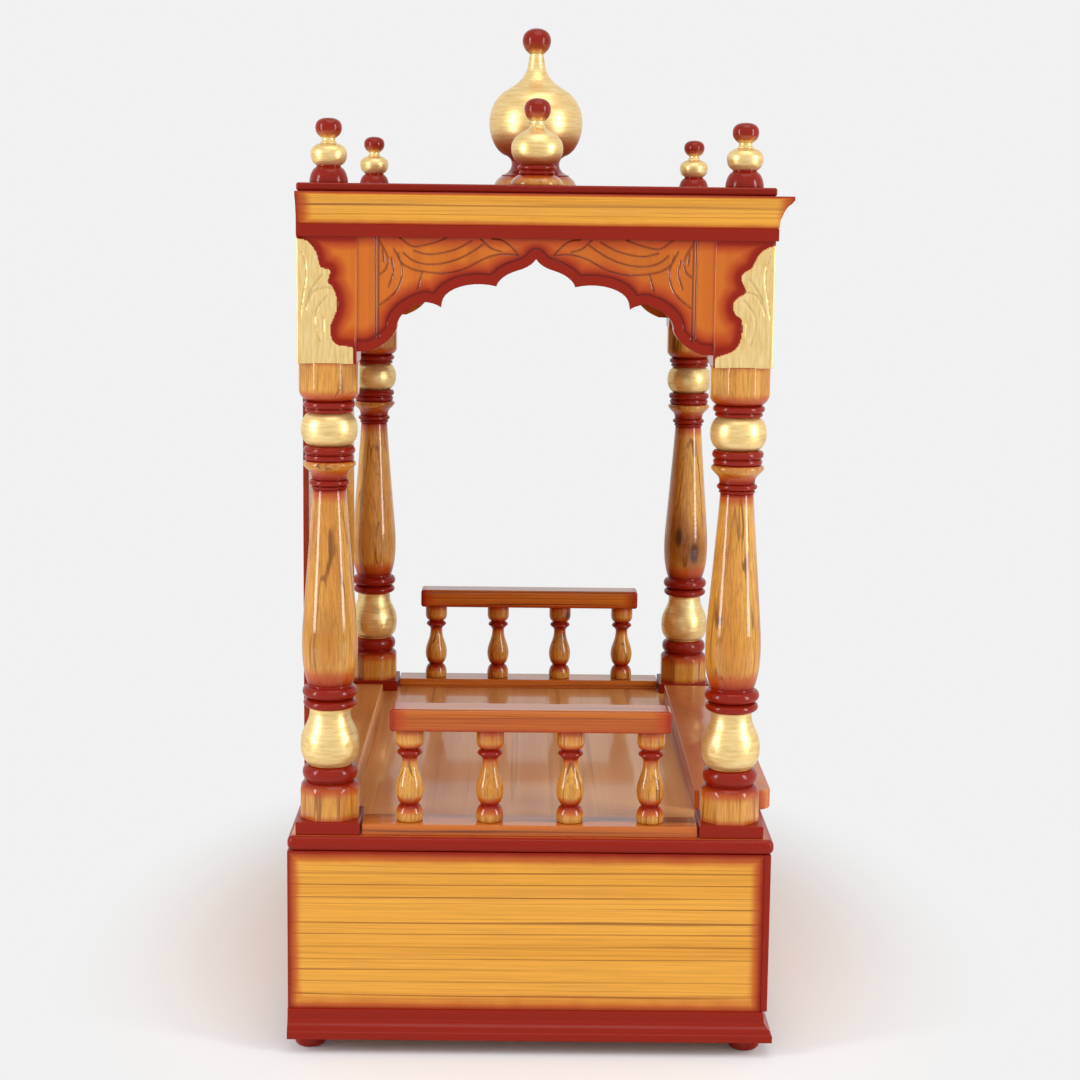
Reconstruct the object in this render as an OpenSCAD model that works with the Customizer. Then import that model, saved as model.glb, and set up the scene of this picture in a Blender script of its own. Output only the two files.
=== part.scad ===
// Wooden home shrine (pooja mandir): a hollow panelled base on four feet, four turned
// columns, low balustrades at the two sides, cusped arches, a cove cornice and a flat roof
// that carries six turned finials and one large onion dome.
// Axes: X is the width, -Y is the front, Z is up. The origin is on the floor, below the
// centre of the overall box.

/* [Base] */
// Width of the base box over its side panels
base_w = 454; // [370:1:550]
// Depth of the base box over its front facing and back panel
base_d = 300; // [245:1:365]
// Height of the base panels above the underside of the plinth
base_h = 119.5; // [90:0.5:160]
// Thickness of the base panels
panel_t = 12; // [8:1:18]
// Thickness of the facing board on the front of the base
facing_t = 4.2; // [3:0.2:8]
// Thickness of the bottom board inside the base
bottom_t = 6; // [4:1:12]
// Height of the round feet
foot_h = 10; // [6:1:20]
// Diameter of the round feet
foot_dia = 20; // [14:1:30]
// Distance from the base faces to the edge of a foot
foot_inset = 3; // [1:1:12]
// Height of the plinth moulding
plinth_h = 18; // [14:1:30]
// How far the plinth moulding stands out at its foot
plinth_out = 7; // [5:0.5:10]

/* [Deck] */
// Thickness of the deck board
deck_t = 9.5; // [8:0.5:18]
// Overhang of the deck board past the panels
deck_lip = 1.5; // [0.5:0.5:4]
// Radius on the deck board's front and side edges
deck_edge_r = 4; // [2:0.5:4.5]
// Width of the raised ledge along the back of the deck
ledge_w = 23; // [14:1:30]
// Thickness of the raised ledge
ledge_t = 6; // [3:1:8]
// Gap between the front step board and the pad at each end
step_gap = 27; // [2:1:60]
// Depth of the front step board
step_d = 50; // [30:1:70]
// Thickness of the front step board
step_t = 13; // [8:1:16]
// How far the front step board stands out past the front panel
step_out = 7; // [6:0.5:14]
// Corner radius of the front step board
step_r = 9; // [4:1:15]

/* [Columns] */
// Height of a column between its pad and its corner block
col_h = 283.5; // [230:0.5:345]
// Width of the square stock that columns and corner blocks are cut from
stock_w = 36; // [30:1:44]
// How far a pad stands out past the column on each side
pad_margin = 2; // [0.5:0.5:5]
// Thickness of the square pad under a column
pad_t = 8; // [4:1:12]
// Distance from the base's side face to the edge of a pad
pad_side = 2; // [1:0.5:12]
// Distance from the base's front and back faces to the edge of a pad
pad_front = 5; // [2:0.5:15]

/* [Balustrades] */
// Distance from the base's side face to the balustrade's bottom board
sill_inset = 3; // [1:0.5:12]
// Width of the balustrade's bottom board
sill_w = 24; // [20:1:30]
// Clearance between the bottom board and the pad at each end
sill_gap = 1; // [0.5:0.5:4]
// Thickness of the balustrade's bottom board
sill_t = 7; // [4:1:10]
// Height of a baluster
baluster_h = 58.5; // [45:0.5:75]
// Largest diameter of a baluster
baluster_dia = 17.2; // [13:0.2:20]
// Number of balusters on each side
baluster_count = 4; // [2:1:5]
// Distance from the end of the bottom board to the middle of the end baluster
baluster_end = 29; // [12:1:40]
// Width of the handrail
handrail_w = 22; // [19:1:28]
// Height of the handrail
handrail_h = 14; // [10:1:20]
// How far the handrail stops short of the bottom board's end
handrail_short = 17; // [2:1:24]

/* [Canopy] */
// Height of the corner blocks and arch boards
canopy_h = 102.5; // [90:0.5:125]
// Thickness of an arch board
arch_t = 12; // [8:1:14]
// Setback of an arch board behind the faces of the corner blocks
arch_setback = 1; // [0:0.5:4]
// Height of the foot of an arch above the underside of the corner blocks
arch_foot = 7.5; // [4:0.5:14]
// Height of an arch from its foot to its point
arch_rise = 56.3; // [44:0.1:62]
// Thickness of the back board
back_t = 3.5; // [3:0.5:8]
// Height of the cornice moulding
cornice_h = 26.5; // [20:0.5:34]
// How far the cornice stands out at its top
cornice_out = 9.5; // [6:0.5:14]
// Thickness of the roof board
roof_t = 5; // [4:1:10]

/* [Finials and domes] */
// Height of a corner finial
finial_h = 38.5; // [30:0.5:50]
// Largest diameter of a corner finial
finial_dia = 23; // [18:0.2:30]
// Height of a side dome
side_dome_h = 51.5; // [40:0.5:64]
// Largest diameter of a side dome
side_dome_dia = 31.6; // [24:0.2:38]
// Height of the central dome
dome_h = 107.5; // [85:0.5:130]
// Largest diameter of the central dome
dome_dia = 64.2; // [50:0.2:78]

/* [Hidden] */
$fn = 96;
over = 1;

// Levels, from the floor up
z_panel = foot_h;
z_deck = z_panel + base_h;
z_floor = z_deck + deck_t;
z_col = z_floor + pad_t;
z_block = z_col + col_h;
z_roof = z_block + canopy_h;
z_top = z_roof + roof_t;
z_sill = z_floor + sill_t;
z_rail = z_sill + baluster_h;
z_cornice = z_roof - cornice_h;

// Places in plan. The front is furthest out at the step or at the plinth.
front_out = max(step_out, plinth_out - facing_t);
y_back = (base_d + front_out) / 2;
y_front = y_back - base_d;
y_box = y_front + facing_t;
y_mid = (y_back + y_front) / 2;
pad_w = stock_w + 2 * pad_margin;
col_x = base_w / 2 - pad_side - pad_w / 2;
col_y = base_d / 2 - pad_front - pad_w / 2;
pad_gap_x = 2 * col_x - pad_w;
pad_gap_y = 2 * col_y - pad_w;
rail_x = base_w / 2 - sill_inset - sill_w / 2;
block_half = stock_w / 2;
face_x = col_x + block_half;
face_y = col_y + block_half;
bay_x = 2 * col_x - stock_w;
bay_y = 2 * col_y - stock_w;
sill_len = pad_gap_y - 2 * sill_gap;
handrail_len = sill_len - 2 * handrail_short;
baluster_pitch = (sill_len - 2 * baluster_end) / (baluster_count - 1);
step_w = pad_gap_x - 2 * step_gap;

// ---- Outlines -------------------------------------------------------------------

// Points of a smooth curve from p to s, pulled towards q and r
function curve(p, q, r, s, n = 8) = [
    for (i = [0:n]) let (t = i / n, u = 1 - t)
        u * u * u * p + 3 * u * u * t * q + 3 * u * t * t * r + t * t * t * s
];

// Points of a round bead between two heights, from radius r out to radius out
function bead(r, out, z0, z1, n = 8) = [
    for (i = [0:n]) let (a = -90 + 180 * i / n)
        [r + (out - r) * cos(a), (z0 + z1) / 2 + (z1 - z0) / 2 * sin(a)]
];

// Points of a circle's arc from p through q to r
function arc3(p, q, r, n = 8) =
    let (
        d = 2 * (p[0] * (q[1] - r[1]) + q[0] * (r[1] - p[1]) + r[0] * (p[1] - q[1])),
        cx = ((p * p) * (q[1] - r[1]) + (q * q) * (r[1] - p[1]) + (r * r) * (p[1] - q[1])) / d,
        cy = ((p * p) * (r[0] - q[0]) + (q * q) * (p[0] - r[0]) + (r * r) * (q[0] - p[0])) / d,
        rad = norm(p - [cx, cy]),
        a0 = atan2(p[1] - cy, p[0] - cx),
        a1 = atan2(r[1] - cy, r[0] - cx),
        turn = ((q - p)[0] * (r - q)[1] - (q - p)[1] * (r - q)[0]) > 0 ? 1 : -1,
        sweep = turn > 0 ? (a1 - a0 + 720) % 360 : -((a0 - a1 + 720) % 360)
    )
    [for (i = [0:n]) let (a = a0 + sweep * i / n) [cx + rad * cos(a), cy + rad * sin(a)]];

// A profile given for a reference radius and height, stretched to the wanted ones
function sized(points, ref_dia, ref_h, dia, h) =
    [for (p = points) [p[0] * dia / ref_dia, p[1] * h / ref_h]];

// Half of a cusped arch, from its foot (1, 0) to its point (0, 1)
arch_half = concat(
    [[1, 0]],
    arc3([0.935, 0.005], [0.846, 0.092], [0.776, 0.261]),
    arc3([0.776, 0.261], [0.713, 0.453], [0.617, 0.533]),
    arc3([0.617, 0.533], [0.561, 0.510], [0.514, 0.449], 4),
    arc3([0.514, 0.449], [0.393, 0.714], [0.221, 0.707]),
    arc3([0.221, 0.707], [0.178, 0.810], [0.103, 0.877], 5),
    arc3([0.103, 0.877], [0.042, 0.924], [0, 1], 4)
);

// Column, drawn for stock 36 wide and a height of 283.5: the round part between its blocks
column_points = concat(
    [[0, 20]],
    bead(15.2, 17, 23.5, 32.5),
    curve([12.2, 33], [19.2, 37], [19.6, 50], [15.5, 57]),
    curve([15.5, 57], [13.5, 61], [12.2, 65], [12.8, 68.6]),
    bead(13.5, 16.8, 69.5, 75.5, 6),
    bead(14, 17.1, 76, 83),
    curve([14.1, 84], [16.9, 92], [18.2, 104], [16.6, 124]),
    curve([16.6, 124], [14.6, 150], [12.2, 178], [10.3, 205.5]),
    bead(10.6, 12.4, 207, 211.5, 6),
    curve([11, 212], [10.6, 218], [15.8, 217], [16.4, 222.6], 6),
    bead(14.2, 15.8, 223.4, 226.8, 6),
    bead(14.2, 16.2, 227, 232.4, 6),
    bead(11.5, 17.2, 233, 252.8),
    bead(14, 16.1, 253.2, 259.4, 6),
    [[0, 262]]
);

// Baluster, drawn for a diameter of 17.2 and a height of 58.5
baluster_points = concat(
    [[0, 0], [8, 0]],
    curve([8.4, 0.8], [9, 4], [8.4, 8.4], [5.6, 10.6], 6),
    curve([5.6, 10.6], [7.2, 12.4], [8.7, 16], [8.6, 20.4], 6),
    curve([8.6, 20.4], [8.3, 28], [4.7, 31], [4.7, 39], 6),
    bead(6.2, 7.9, 41, 45.6, 4),
    curve([5.8, 46.3], [7.6, 47], [8.5, 48.4], [8.6, 51], 4),
    [[8.6, 58.5], [0, 58.5]]
);

// Corner finial, drawn for a diameter of 23.4 and a height of 40: bell foot, bulb and knob
finial_points = concat(
    [[0, 0], [11.7, 0], [11.7, 1]],
    curve([11.6, 1.4], [11, 5], [9.6, 8.2], [8, 9.4], 6),
    [[7.5, 10.1], [7.6, 10.8]],
    curve([8, 11.2], [10.6, 12.6], [11.2, 15.6], [11.2, 18]),
    curve([11.2, 18], [11.2, 21.6], [8.4, 23.4], [4.9, 24.4], 6),
    curve([4.9, 24.4], [4, 25.4], [4, 26.6], [4.1, 27.4], 4),
    curve([4.1, 27.4], [6.6, 29.2], [8.1, 31], [8.1, 34]),
    curve([8.1, 34], [8.1, 38.2], [5, 40], [0, 40])
);

// Side dome, drawn for a diameter of 31.6 and a height of 51.5
side_dome_points = concat(
    [[0, 0], [15.8, 0]],
    curve([15.8, 0.4], [15.6, 2.8], [13.4, 5], [10.3, 6.2], 6),
    [[9.8, 7.3], [9.8, 8.6]],
    bead(9.8, 11.4, 8.8, 12, 4),
    curve([10.4, 12.6], [14, 14], [15.6, 17.6], [15.6, 21.9]),
    curve([15.6, 21.9], [15.6, 27], [12, 30], [7, 32.5]),
    curve([7, 32.5], [4.6, 33.8], [3.9, 35.5], [3.9, 38], 5),
    curve([3.9, 38], [6.5, 39.5], [8, 42], [8, 45]),
    curve([8, 45], [8, 49.5], [4.5, 51.5], [0, 51.5])
);

// Central dome, drawn for a diameter of 64.2 and a height of 107.5
dome_points = concat(
    [[0, 0], [28.8, 0]],
    curve([28.7, 0.5], [28, 3], [26.4, 5.8], [23.4, 7.2], 6),
    curve([23.2, 7.4], [19.6, 9], [16.4, 12], [16.4, 16], 6),
    [[17.2, 19], [18.6, 20.4]],
    curve([19.6, 21], [26, 22.6], [31.7, 31], [32.1, 43], 10),
    curve([32.1, 43], [32.1, 52], [28.5, 60], [21.9, 64.6]),
    curve([21.9, 64.6], [14, 69.5], [7.2, 73], [5.8, 83]),
    curve([5.8, 83], [5.3, 86], [4.9, 88], [4.8, 90.1], 3),
    curve([4.8, 90.1], [8.2, 92.5], [9.8, 95.6], [9.8, 99]),
    curve([9.8, 99], [9.8, 104.5], [5.5, 107.5], [0, 107.5])
);

// Cornice section: x is how far it stands out, y is the height above its underside
cornice_points = concat(
    [[0, 0], [1.5, 0], [1.5, cornice_h * 0.28]],
    curve([1.5, cornice_h * 0.28], [1.8, cornice_h * 0.62],
          [cornice_out * 0.6, cornice_h * 0.78], [cornice_out - 0.6, cornice_h * 0.9]),
    [[cornice_out, cornice_h * 0.92], [cornice_out, cornice_h], [0, cornice_h]]
);

// Plinth section: x is how far it stands out, y is the height above its underside
plinth_points = concat(
    [[0, 0], [plinth_out, 0], [plinth_out, plinth_h * 0.25], [plinth_out - 0.8, plinth_h * 0.28]],
    curve([plinth_out - 1, plinth_h * 0.35], [plinth_out - 1.2, plinth_h * 0.48],
          [3, plinth_h * 0.48], [2.6, plinth_h * 0.62], 6),
    [[2.2, plinth_h * 0.64], [1.8, plinth_h * 0.94], [1.2, plinth_h], [0, plinth_h]]
);

// ---- Shapes that several pieces share ---------------------------------------------

// A turned piece: its outline spun about the vertical
module turned(points) rotate_extrude() polygon(points);

// An eight-sided block, as wide over its flats as the stock
module octagon_block(h) rotate([0, 0, 22.5])
    cylinder(r = block_half / cos(22.5), h = h, $fn = 8);

// A moulding strip that faces the front, from a to b along X, mitred at the ends asked for
module strip(points, h, out, a, b, mitre_a, mitre_b)
    intersection() {
        translate([a - out - over, 0, 0]) rotate([90, 0, 90])
            linear_extrude(b - a + 2 * (out + over)) polygon([for (p = points) [-p[0], p[1]]]);
        translate([0, 0, -over]) linear_extrude(h + 2 * over)
            polygon([[a, over], [b, over], [b, 0], [mitre_b ? b + out : b, -out],
                     [mitre_a ? a - out : a, -out], [a, 0]]);
    }

// A board with an arch cut in its lower edge, in the X-Z plane, front face at y = 0
module arch_board(span, rise, foot, h, t)
    translate([0, t, 0]) rotate([90, 0, 0]) linear_extrude(t)
        polygon(concat(
            [for (p = arch_half) [p[0] * span / 2, foot + p[1] * rise]],
            [for (i = [len(arch_half) - 2:-1:0])
                [-arch_half[i][0] * span / 2, foot + arch_half[i][1] * rise]],
            [[-span / 2, h], [span / 2, h]]
        ));

// ---- Base ---------------------------------------------------------------------------

// Foot with a round lower edge, near the corner of the base at (sx, sy)
module foot(sx, y_face, sy) {
    edge = 4;
    color("saddlebrown")
        translate([sx * (base_w / 2 - foot_inset - foot_dia / 2),
                   y_face - sy * (foot_inset + foot_dia / 2), 0])
            turned(concat([[0, 0]],
                          curve([foot_dia / 2 - edge, 0], [foot_dia / 2 - edge / 2, 0],
                                [foot_dia / 2, edge / 2], [foot_dia / 2, edge], 5),
                          [[foot_dia / 2, foot_h], [0, foot_h]]));
}

module base_side_panel(sx) color("goldenrod")
    translate([sx > 0 ? base_w / 2 - panel_t : -base_w / 2, y_box, z_panel])
        cube([panel_t, y_back - y_box, base_h]);

module base_cross_panel(y) color("goldenrod")
    translate([-base_w / 2 + panel_t, y, z_panel]) cube([base_w - 2 * panel_t, panel_t, base_h]);

module base_bottom() color("peru")
    translate([-base_w / 2 + panel_t, y_box + panel_t, z_panel])
        cube([base_w - 2 * panel_t, y_back - y_box - 2 * panel_t, bottom_t]);

// Board over the whole front of the base, above the plinth
module base_facing() color("goldenrod")
    translate([-base_w / 2, y_front, z_panel + plinth_h])
        cube([base_w, facing_t, base_h - plinth_h]);

module plinth_side(sx) color("brown") mirror([sx > 0 ? 1 : 0, 0, 0])
    translate([-base_w / 2, 0, z_panel]) rotate([0, 0, -90])
        strip(plinth_points, plinth_h, plinth_out, -y_back, -y_box, false, true);

module plinth_front() color("brown")
    translate([0, y_box, z_panel])
        strip(plinth_points, plinth_h, plinth_out, -base_w / 2, base_w / 2, true, true);

// ---- Deck ---------------------------------------------------------------------------

// Board with round front and side edges and a square back edge
module deck_board() {
    r = min(deck_edge_r, deck_t / 2 - 0.5);
    x = base_w / 2 + deck_lip - r;
    y = y_front - deck_lip + r;
    color("brown") union() {
        translate([-x, y, z_deck]) cube([2 * x, y_back - y, deck_t]);
        translate([-x - r, y, z_deck + r]) cube([2 * (x + r), y_back - y, deck_t - 2 * r]);
        translate([-x, y - r, z_deck + r]) cube([2 * x, 2 * r, deck_t - 2 * r]);
        for (z = [z_deck + r, z_floor - r]) {
            translate([-x, y, z]) rotate([0, 90, 0]) cylinder(r = r, h = 2 * x);
            for (sx = [-1, 1]) translate([sx * x, y, z]) {
                rotate([-90, 0, 0]) cylinder(r = r, h = y_back - y);
                sphere(r = r);
            }
        }
        for (sx = [-1, 1]) translate([sx * x, y, z_deck + r])
            cylinder(r = r, h = deck_t - 2 * r);
    }
}

module back_ledge() color("sienna")
    translate([-pad_gap_x / 2 + sill_gap, y_mid + face_y - back_t - ledge_w, z_floor])
        cube([pad_gap_x - 2 * sill_gap, ledge_w, ledge_t]);

// Board between the front columns, with its two front corners rounded
module front_step() color("sienna")
    translate([0, y_front - step_out, z_floor]) {
        translate([-step_w / 2 + step_r, 0, 0]) cube([step_w - 2 * step_r, step_d, step_t]);
        translate([-step_w / 2, step_r, 0]) cube([step_w, step_d - step_r, step_t]);
        for (sx = [-1, 1]) translate([sx * (step_w / 2 - step_r), step_r, 0])
            cylinder(r = step_r, h = step_t);
    }

module column_pads() color("brown")
    for (sx = [-1, 1], sy = [-1, 1])
        translate([sx * col_x - pad_w / 2, y_mid + sy * col_y - pad_w / 2, z_floor])
            cube([pad_w, pad_w, pad_t]);

// ---- Columns and balustrades ---------------------------------------------------------

module column(sx, sy) color("goldenrod")
    translate([sx * col_x, y_mid + sy * col_y, z_col]) {
        k = col_h / 283.5;
        turned(sized(column_points, 36, 283.5, stock_w, col_h));
        octagon_block(24 * k);
        translate([0, 0, 260 * k]) octagon_block(col_h - 260 * k);
    }

module sill(sx) color("goldenrod")
    translate([sx * rail_x - sill_w / 2, y_mid - sill_len / 2, z_floor])
        cube([sill_w, sill_len, sill_t]);

module balusters(sx) color("chocolate")
    for (i = [0:baluster_count - 1])
        translate([sx * rail_x, y_mid + (i - (baluster_count - 1) / 2) * baluster_pitch, z_sill])
            turned(sized(baluster_points, 17.2, 58.5, baluster_dia, baluster_h));

// Rail with its long edges eased by a small bevel
module handrail(sx) {
    bevel = 1.5;
    color("chocolate")
        translate([sx * rail_x, y_mid + handrail_len / 2, z_rail]) rotate([90, 0, 0])
            linear_extrude(handrail_len) polygon([
                [-handrail_w / 2 + bevel, 0], [handrail_w / 2 - bevel, 0],
                [handrail_w / 2, bevel], [handrail_w / 2, handrail_h - bevel],
                [handrail_w / 2 - bevel, handrail_h], [-handrail_w / 2 + bevel, handrail_h],
                [-handrail_w / 2, handrail_h - bevel], [-handrail_w / 2, bevel]
            ]);
}

// ---- Canopy ----------------------------------------------------------------------------

module corner_block(sx, sy) color("darkorange")
    translate([sx * col_x - block_half, y_mid + sy * col_y - block_half, z_block])
        cube([stock_w, stock_w, canopy_h]);

module arch_side(sx) color("orange")
    translate([sx * (face_x - arch_setback), y_mid, z_block]) rotate([0, 0, sx > 0 ? 90 : -90])
        arch_board(bay_y, arch_rise, arch_foot, canopy_h, arch_t);

module arch_front() color("orange")
    translate([0, y_mid - face_y + arch_setback, z_block])
        arch_board(bay_x, arch_rise, arch_foot, canopy_h, arch_t);

module back_board() color("burlywood")
    translate([0, y_mid + face_y - back_t, 0]) {
        translate([-pad_gap_x / 2, 0, z_floor]) cube([pad_gap_x, back_t, pad_t + over]);
        translate([-bay_x / 2, 0, z_col]) cube([bay_x, back_t, z_roof - z_col]);
    }

module cornice_side(sx) color("brown") mirror([sx > 0 ? 1 : 0, 0, 0])
    translate([-face_x, y_mid, z_cornice]) rotate([0, 0, -90])
        strip(cornice_points, cornice_h, cornice_out, -face_y, face_y, false, true);

module cornice_front() color("brown")
    translate([0, y_mid - face_y, z_cornice])
        strip(cornice_points, cornice_h, cornice_out, -face_x, face_x, true, true);

module roof_board() color("brown")
    translate([-face_x, y_mid - face_y, z_roof]) cube([2 * face_x, 2 * face_y, roof_t]);

// ---- Finials and domes -------------------------------------------------------------------

module finial(sx, sy) color("gold")
    translate([sx * col_x, y_mid + sy * col_y, z_top])
        turned(sized(finial_points, 23.4, 40, finial_dia, finial_h));

module side_dome(sx) color("gold")
    translate([sx * col_x, y_mid, z_top])
        turned(sized(side_dome_points, 31.6, 51.5, side_dome_dia, side_dome_h));

module central_dome() color("gold")
    translate([0, y_mid, z_top]) turned(sized(dome_points, 64.2, 107.5, dome_dia, dome_h));

// ---- Pieces --------------------------------------------------------------------------------

foot(-1, y_front, -1);  // foot_front_left
foot(1, y_front, -1);  // foot_front_right
foot(-1, y_back, 1);  // foot_back_left
foot(1, y_back, 1);  // foot_back_right
base_side_panel(-1);  // base_left_panel
base_side_panel(1);  // base_right_panel
base_cross_panel(y_box);  // base_front_panel
base_cross_panel(y_back - panel_t);  // base_back_panel
base_bottom();
base_facing();
plinth_side(-1);  // plinth_left
plinth_side(1);  // plinth_right
plinth_front();
deck_board();
back_ledge();
front_step();
column_pads();
column(-1, -1);  // column_front_left
column(1, -1);  // column_front_right
column(-1, 1);  // column_back_left
column(1, 1);  // column_back_right
sill(-1);  // sill_left
sill(1);  // sill_right
balusters(-1);  // balusters_left
balusters(1);  // balusters_right
handrail(-1);  // handrail_left
handrail(1);  // handrail_right
corner_block(-1, -1);  // corner_block_front_left
corner_block(1, -1);  // corner_block_front_right
corner_block(-1, 1);  // corner_block_back_left
corner_block(1, 1);  // corner_block_back_right
arch_side(-1);  // arch_left
arch_side(1);  // arch_right
arch_front();
back_board();
cornice_side(-1);  // cornice_left
cornice_side(1);  // cornice_right
cornice_front();
roof_board();
finial(-1, -1);  // finial_front_left
finial(1, -1);  // finial_front_right
finial(-1, 1);  // finial_back_left
finial(1, 1);  // finial_back_right
side_dome(-1);  // side_dome_left
side_dome(1);  // side_dome_right
central_dome();
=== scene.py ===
# %% [markdown]
# # A small wooden home shrine
# The shrine is a hollow base, four turned columns, low balustrades, carved arches and a roof
# with gilded domes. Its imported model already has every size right, so this lesson keeps those
# sizes and remakes each surface with the roundings, carving and lacquer of the real thing.

import math

import bpy
import numpy as np
from mathutils import Matrix, Vector


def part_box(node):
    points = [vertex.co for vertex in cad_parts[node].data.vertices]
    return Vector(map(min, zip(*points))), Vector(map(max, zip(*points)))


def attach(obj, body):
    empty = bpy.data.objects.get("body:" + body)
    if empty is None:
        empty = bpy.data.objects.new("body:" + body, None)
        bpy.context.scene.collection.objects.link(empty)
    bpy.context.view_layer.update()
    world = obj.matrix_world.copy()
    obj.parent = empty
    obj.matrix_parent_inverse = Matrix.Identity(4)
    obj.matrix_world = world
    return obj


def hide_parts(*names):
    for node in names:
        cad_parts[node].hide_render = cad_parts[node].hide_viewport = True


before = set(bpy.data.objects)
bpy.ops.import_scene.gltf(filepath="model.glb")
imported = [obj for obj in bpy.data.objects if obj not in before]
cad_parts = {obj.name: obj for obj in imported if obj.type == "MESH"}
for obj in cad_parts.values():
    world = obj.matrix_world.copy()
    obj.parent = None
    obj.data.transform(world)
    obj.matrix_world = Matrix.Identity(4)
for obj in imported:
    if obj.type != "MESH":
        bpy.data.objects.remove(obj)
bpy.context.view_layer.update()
MM = 0.001


def box_of(node):
    """Lowest and highest corner of a CAD node, in millimetres."""
    return np.array([list(corner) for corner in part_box(node)]) / MM


# %% [markdown]
# ## From arrays of points to a closed mesh
# Every new piece is a grid of points worked out with numpy. Where a grid's edges meet, at a seam
# or at a pole, points fall on each other. Merging them closes the surface, so that it has a true
# inside. The alternative, modelling by hand, would be slower and less exact for turned work.

# %% Grids, and merging their points
def grid_quads(rows, cols, wrap=False):
    """Corner numbers of the quads of a rows by cols grid numbered row by row. With wrap, the
    last column joins the first."""
    i = np.arange(rows - 1)[:, None]
    j = np.arange(cols if wrap else cols - 1)[None, :]
    k = (j + 1) % cols
    return np.stack([i * cols + j, i * cols + k, (i + 1) * cols + k, (i + 1) * cols + j],
                    axis=-1).reshape(-1, 4)


def merge(points, quads, caps=()):
    """Points that agree to a ten-thousandth of a millimetre become one. A quad with one edge of
    no length becomes a triangle, and one with two is dropped."""
    _, first, back = np.unique(np.round(points * 1e4).astype(np.int64), axis=0,
                               return_index=True, return_inverse=True)
    back = back.ravel()
    quads = back[quads]
    same = quads == np.roll(quads, -1, axis=1)
    count = same.sum(axis=1)
    full, part = quads[count == 0], quads[count == 1]
    thin = part[~same[count == 1]].reshape(-1, 3)
    ends = [back[cap][back[cap] != np.roll(back[cap], -1)] for cap in caps]
    return points[first], full, thin, ends


def volume(points, full, thin, ends):
    """Six times the enclosed volume: the sum over all triangles of a . (b x c)."""
    fans = [full[:, [0, 1, 2]], full[:, [0, 2, 3]], thin]
    fans += [np.stack([np.full(len(e) - 2, e[0]), e[1:-1], e[2:]], axis=1) for e in ends]
    a, b, c = np.moveaxis(points[np.concatenate(fans)], 1, 0)
    return np.einsum("ij,ij->", a, np.cross(b, c))


def join(*parts):
    """Several (points, quads) or (points, quads, caps) as one set of arrays."""
    points, quads, caps, shift = [], [], [], 0
    for part in parts:
        points.append(part[0])
        quads.append(part[1] + shift)
        caps += [cap + shift for cap in (part[2] if len(part) > 2 else ())]
        shift += len(part[0])
    return np.concatenate(points), np.concatenate(quads), caps


# %% [markdown]
# ## A piece and its paint
# A sprayed colour fades over a few millimetres, which a border between materials can't do. So
# each piece carries three numbers at each point: red says how thickly red lacquer was sprayed,
# and just under the cornice it also holds painted shade; gold how much gold paint lies there; and
# cut how deep the point is in a carved line, which the material paints dark as painted shade in
# the groove. The material reads them as attributes.

# %% Make a piece
PIECES = []


def make_piece(name, parts, material, nodes, paint=None, crease=38):
    """Merges the parts, turns the faces outwards, stores red, gold and cut, and lets the piece
    stand for its CAD nodes. Edges sharper than crease degrees stay crisp."""
    points, full, thin, ends = merge(*join(*parts))
    if volume(points, full, thin, ends) < 0:
        full, thin, ends = full[:, ::-1], thin[:, ::-1], [e[::-1] for e in ends]
    mesh = bpy.data.meshes.new(name)
    mesh.from_pydata((points * MM).tolist(), [],
                     full.tolist() + thin.tolist() + [e.tolist() for e in ends])
    layers = paint(points) if paint else {}
    for key in ("red", "gold", "cut"):
        layer = mesh.attributes.new(key, "FLOAT", "POINT")
        values = np.broadcast_to(layers.get(key, 0.0), len(points))
        layer.data.foreach_set("value", values.astype(np.float32))
    mesh.shade_smooth()
    mesh.set_sharp_from_angle(angle=math.radians(crease))
    mesh.materials.append(material)
    piece = bpy.data.objects.new(name, mesh)
    bpy.context.collection.objects.link(piece)
    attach(piece, "root")
    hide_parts(*nodes)
    PIECES.append((name, 2 * len(full) + len(thin)))
    return piece


# %% [markdown]
# ## Lacquered wood
# The shrine is pale, straight-grained softwood under clear gloss lacquer, toned honey and
# sprayed red towards each edge. The grain is a wave with noise in it, drawn out along the board.
# Fine fibres are noise that is drawn out much further. Red goes on in two coats: the thin one
# lets the grain through, the thick one hides it. One function makes all of these woods, because
# they differ only in their colours, in the direction of the grain and in its spacing.

# %% Colours and nodes
def colour(code):
    """An sRGB hex code as linear red, green, blue and an alpha of 1."""
    values = np.array([int(code[i:i + 2], 16) for i in (1, 3, 5)]) / 255
    linear = np.where(values <= 0.04045, values / 12.92, ((values + 0.055) / 1.055) ** 2.4)
    return (*linear.tolist(), 1.0)


def add(tree, kind, inputs=None, out=0, stops=(), **settings):
    """Adds a node. inputs gives, by name or number, another node's output to link, a hex code
    or a value. stops are a ramp's places and hex codes. Gives the output numbered or named."""
    node = tree.nodes.new("ShaderNode" + kind)
    for key, value in settings.items():
        setattr(node, key, value)
    for key, value in (inputs or {}).items():
        if isinstance(value, bpy.types.NodeSocket):
            tree.links.new(value, node.inputs[key])
        else:
            node.inputs[key].default_value = colour(value) if isinstance(value, str) else value
    while len(stops) > len(node.color_ramp.elements if stops else ()):
        node.color_ramp.elements.new(1.0)
    for number, (place, code) in enumerate(stops):
        node.color_ramp.elements[number].position = place
        node.color_ramp.elements[number].color = colour(code)
    return node.outputs[out] if node.outputs else node


# %% The lacquered woods
RED = "#8A1C0A"
RED_THIN = "#AE3C0A"
LACQUER = {"IOR": 1.5, "Specular IOR Level": 0.1, "Coat Roughness": 0.07, "Coat IOR": 1.5}
SMOOTH = {"interpolation_type": "SMOOTHSTEP"}
BLEND = {"data_type": "RGBA", "out": 2}


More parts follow.
